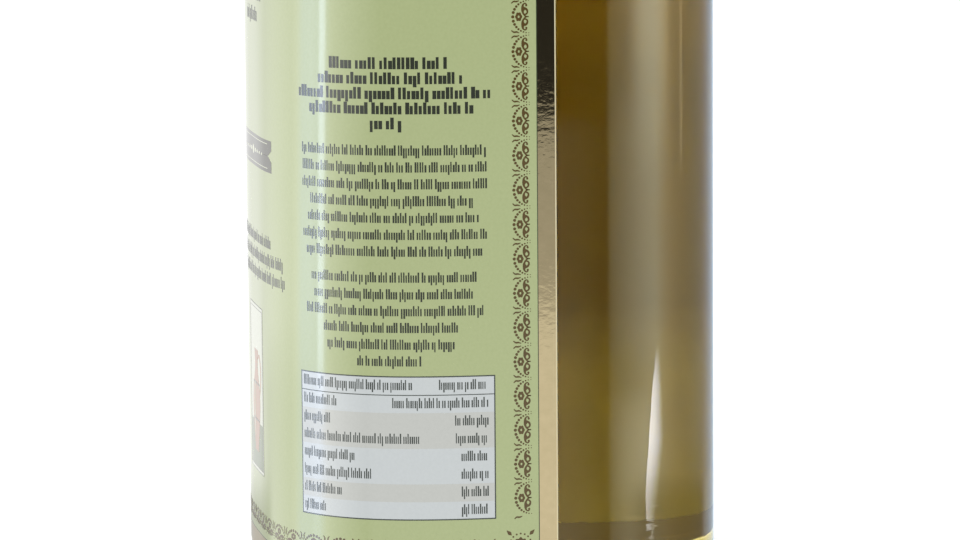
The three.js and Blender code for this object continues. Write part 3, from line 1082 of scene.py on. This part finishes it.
cap_finish = lacquered_metal()
make_glass(clear_glass("glass", grey(1.0)), clear_glass("glass_wet", grey(0.0)))
make_oil(oil_finish())
make_paper(varnished("label_green", *LABEL_GREENS), paper_back_painted_light(), paper_cut())
make_foil(gold_foil())
make_cap(cap_finish)
make_tamper_band(cap_finish)
make_border()
make_edge_lines()
make_small_print()
make_table()
make_sprigs()
make_ribbon()
make_picture()


# Floor, light and camera.

TOWARDS_CAMERA = Vector((
    sin(CAMERA_AZIMUTH) * cos(CAMERA_ELEVATION),
    -cos(CAMERA_AZIMUTH) * cos(CAMERA_ELEVATION),
    sin(CAMERA_ELEVATION)))
AHEAD = Vector((TOWARDS_CAMERA.x, TOWARDS_CAMERA.y, 0)).normalized()
TO_RIGHT = Vector((-AHEAD.y, AHEAD.x, 0))

# What gloss reflects, as (degrees, brightness) marks: to the left and to the right of the camera,
# counted from its side, and by elevation for the table top in front of the bottle.
STUDIO_LEFT = [(0, 0.02), (24, 0.1), (42, 1.4), (60, 2.9), (78, 5.0), (88, 5.3), (103, 4.0),
               (112, 2.8), (130, 2.1), (150, 1.2), (180, 1.1)]
STUDIO_RIGHT = [(0, 0.01), (39, 0.04), (41, 1.05), (49, 1.95), (58, 3.0), (70, 3.7), (80, 3.1),
                (92, 1.95), (105, 1.3), (120, 0.85), (131, 0.7), (160, 0.82), (180, 1.0)]
TABLE_TOP = [(-30, 0.9), (-10.4, 0.82), (-8.9, 0.80), (-8.1, 0.78), (-7.7, 0.47), (-6.6, 0.44),
             (-5.9, 0.42), (-5.65, 0.01), (-5, 0.01)]
TABLE_TOP_FADE = ((-44, -30), (22, 48))
# The left studio leans: it turns by this many degrees for each degree of elevation.
LEAN = 1.7
LEAN_LEVEL = -4.8
LEAN_REACH = (-12, 0)
# Bright patches: (low, high, edge) in degrees, the same in elevation, and brightness.
GLOWS = [
    ((-77, -73, 3), (-8.3, 60, 0.7), 4.5),
    ((62, 74, 14), (-4.3, 60, 2.7), 2.5),
    ((96.5, 98.5, 1.5), (-6.0, 60, 0.6), 1.2),
    ((50, 66, 14), (-8.1, -5.9, 0.7), 0.5),
    ((50, 62, 14), (-9.8, -9.3, 0.6), 1.6),
]
# A flame-shaped highlight: by elevation, its crisp left edge, its width and its brightness.
FLAME_EDGE = [(-10.6, 66), (-10.4, 65), (-10.2, 61.6), (-10.0, 61.6), (-9.45, 64), (-8.75, 67.7),
              (-8.3, 71)]
FLAME_WIDTH = [(-10.6, 1), (-10.4, 4), (-10.0, 10), (-9.4, 13), (-8.7, 7), (-8.3, 3)]
FLAME_PEAK = [(-10.6, 0), (-10.4, 6), (-10.0, 7), (-9.8, 10), (-9.4, 14), (-8.8, 12), (-8.3, 0)]
FLAME_BLUR = 0.7
FLAME_WHITE = 6.0
# The light's colour by degrees, on the left and on the right.
WHITE = (1.0, 1.0, 1.0)
COOL = (0.89, 1.0, 1.22)
WARM = (1.0, 0.99, 0.74)
YELLOW = (1.0, 0.85, 0.52)
RIM_BLUE = (0.88, 1.05, 1.24)
LEFT_COLOURS = [(-106, WHITE), (-98, COOL), (-74, COOL), (-66, WHITE)]
RIGHT_COLOURS = [(24, WHITE), (34, WARM), (69, WARM), (82, YELLOW), (105, YELLOW), (120, WARM),
                 (136, WHITE), (150, RIM_BLUE)]
# Dark patches low down, written as the bright ones are.
DARK_PATCHES = [
    ((-200, -145, 10), (-40, -10.3, 0.7), 0.5),
    ((-142, -88, 12), (-40, -9.0, 1.2), 0.27),
    ((60, 128, 12), (-40, -10.1, 0.4), 0.62),
]
# Below these elevations the light that gloss reflects turns even.
EVEN_LIGHT = (-30, -15)
INSIDE_LIGHT = 4.8


class Studio(Finish):
    """The world's nodes. Its light is even, and what gloss reflects has soft boxes in it."""

    def __init__(self):
        self.world = bpy.data.worlds.new("studio")
        self.world.use_nodes = True
        self.tree = self.world.node_tree
        self.background = self.tree.nodes["Background"]
        self.places = self.node("TexCoord").outputs["Generated"]

    def along(self, direction):
        made = self.node("VectorMath", [(0, self.places)], operation="DOT_PRODUCT")
        made.inputs[1].default_value = direction
        return made.outputs["Value"]

    def shades(self, source, marks):
        """A colour read off (degrees, colour) marks."""
        low, high = marks[0][0], marks[-1][0]
        made = self.node("MapRange", [("Value", source)], From_Min=low, From_Max=high)
        shades = [((place - low) / (high - low), colour) for place, colour in marks]
        return self.ramp(made.outputs["Result"], *shades)

    def curve(self, source, marks):
        """A value read off (degrees, value) marks."""
        top = max(value for _, value in marks)
        scaled = [(place, (value / top,) * 3) for place, value in marks]
        return self.product(self.shades(source, scaled), top)

    def window(self, value, low, high, edge):
        """1 between low and high, falling to 0 over an edge on both sides."""
        rise = self.step(value, low - edge, low)
        return self.product(rise, self.rest(self.step(value, high, high + edge)))

    def glow(self, degrees, elevation, across, upright, brightness):
        both = self.product(self.window(degrees, *across), self.window(elevation, *upright))
        return self.product(both, brightness)

    def flame(self, degrees, elevation):
        past = self.math("SUBTRACT", degrees, self.curve(elevation, FLAME_EDGE))
        part = self.math("DIVIDE", past, self.curve(elevation, FLAME_WIDTH))
        shape = self.product(self.math("MAXIMUM", self.rest(part), 0.0),
                             self.step(past, -FLAME_BLUR, 0.0))
        return self.product(shape, self.curve(elevation, FLAME_PEAK))

    def blend(self, part, first, second):
        """A colour part way from the first to the second. Either may be a fixed colour."""
        made = self.node("Mix", [(0, part)], data_type="RGBA")
        for socket, colour in ((made.inputs[6], first), (made.inputs[7], second)):
            if isinstance(colour, tuple):
                socket.default_value = (*colour, 1.0)
            else:
                self.link(socket, colour)
        return made.outputs[2]


def make_studio():
    sky = Studio()
    elevation = sky.product(sky.math("ARCSINE", sky.along((0, 0, 1))), 180 / pi)
    bearing = sky.math("ARCTAN2", sky.along(TO_RIGHT), sky.along(AHEAD))
    degrees = sky.product(bearing, 180 / pi)
    on_right = sky.math("GREATER_THAN", degrees, 0.0)
    near = sky.node("Clamp", [("Value", elevation)], Min=LEAN_REACH[0], Max=LEAN_REACH[1])
    lean = sky.product(sky.math("SUBTRACT", near.outputs["Result"], LEAN_LEVEL), -LEAN)
    leaned = sky.math("ADD", degrees, sky.mix(on_right, lean, 0.0))
    turn = sky.math("ABSOLUTE", leaned)
    sides = sky.mix(on_right, sky.curve(turn, STUDIO_LEFT), sky.curve(turn, STUDIO_RIGHT))
    for dark_patch in DARK_PATCHES:
        sides = sky.product(sides, sky.rest(sky.glow(leaned, elevation, *dark_patch)))
    begin, end = TABLE_TOP_FADE
    in_front = sky.product(sky.step(degrees, *begin), sky.rest(sky.step(degrees, *end)))
    table = sky.product(sky.curve(elevation, TABLE_TOP), in_front)
    flame = sky.flame(degrees, elevation)
    seen = sky.math("ADD", sky.math("MAXIMUM", sides, table), flame)
    for glow in GLOWS:
        seen = sky.math("ADD", seen, sky.glow(leaned, elevation, *glow))
    seen = sky.mix(sky.step(elevation, *EVEN_LIGHT), 1.0, seen)
    rays = sky.node("LightPath").outputs
    through = rays["Is Transmission Ray"]
    inside = sky.product(through, sky.math("GREATER_THAN", rays["Diffuse Depth"], 0.5))
    reflected = sky.product(rays["Is Glossy Ray"], sky.rest(through))
    strength = sky.mix(reflected, sky.mix(inside, 1.0, INSIDE_LIGHT), seen)
    right_colour = sky.shades(degrees, RIGHT_COLOURS)
    right_colour = sky.blend(sky.step(flame, 0.0, FLAME_WHITE), right_colour, WHITE)
    colour = sky.blend(on_right, sky.shades(leaned, LEFT_COLOURS), right_colour)
    colour = sky.blend(reflected, WHITE, colour)
    sky.link(sky.background.inputs["Color"], colour)
    sky.link(sky.background.inputs["Strength"], strength)
    sky.world.cycles.sampling_method = "NONE"
    scene.world = sky.world


FLOOR_HALF_WIDTH = 20000.0
FLOOR_GLOW = 0.3
# What the glass shows under the bottle: a painted shadow on the floor, seen only through the glass,
# out to where it fades.
FOOT_SHADE = (130, 180)
FOOT_SHADE_COLOUR = (0.125, 0.10, 0.08, 1.0)


def make_floor():
    far = FLOOR_HALF_WIDTH * MM
    mesh = bpy.data.meshes.new("floor")
    mesh.from_pydata([(-far, -far, 0), (far, -far, 0), (far, far, 0), (-far, far, 0)], [],
                     [(0, 1, 2, 3)])
    finish = Finish("floor", Roughness=1.0, Specular_IOR_Level=0.0,
                    Emission_Strength=FLOOR_GLOW)
    finish.colour(300, 3.0, (0.84, 0.84, 0.84), (0.86, 0.86, 0.86))
    shaded = finish.node("BsdfDiffuse", Color=FOOT_SHADE_COLOUR)
    clear = finish.node("BsdfTransparent")
    distance = finish.node("VectorMath", [(0, finish.places)], operation="LENGTH").outputs["Value"]
    away = finish.step(distance, *[r * MM for r in FOOT_SHADE])
    rays = finish.node("LightPath").outputs
    # Painted shadow round the foot, only for rays that came through the glass.
    part = finish.product(rays["Is Transmission Ray"], finish.rest(away))
    above = finish.node("MixShader", [
        (0, part), (1, finish.shader.outputs[0]), (2, shaded.outputs[0])])
    below = finish.node("NewGeometry").outputs["Backfacing"]
    both = finish.node("MixShader", [(0, below), (1, above.outputs[0]), (2, clear.outputs[0])])
    finish.link(finish.output.inputs["Surface"], both.outputs[0])
    mesh.materials.append(finish.material)
    floor = bpy.data.objects.new("floor", mesh)
    floor.visible_glossy = False
    floor.visible_diffuse = False
    scene.collection.objects.link(floor)


def make_camera():
    camera = bpy.data.cameras.new("camera")
    camera.lens = CAMERA_LENS
    camera.clip_end = CLIP_END * MM
    holder = bpy.data.objects.new("camera", camera)
    aim = Vector((0, 0, CAMERA_AIM_Z)) + TO_RIGHT * CAMERA_ASIDE
    turn = (-TOWARDS_CAMERA).to_track_quat("-Z", "Y").to_matrix().to_4x4()
    place = Matrix.Translation((aim + TOWARDS_CAMERA * CAMERA_DISTANCE) * MM)
    holder.matrix_world = place @ turn @ Matrix.Rotation(CAMERA_ROLL, 4, "Z")
    scene.collection.objects.link(holder)
    scene.camera = holder


make_studio()
make_floor()
make_camera()
scene.view_settings.view_transform = "Standard"
scene.cycles.max_bounces = LIGHT_BOUNCES
scene.cycles.transmission_bounces = LIGHT_BOUNCES
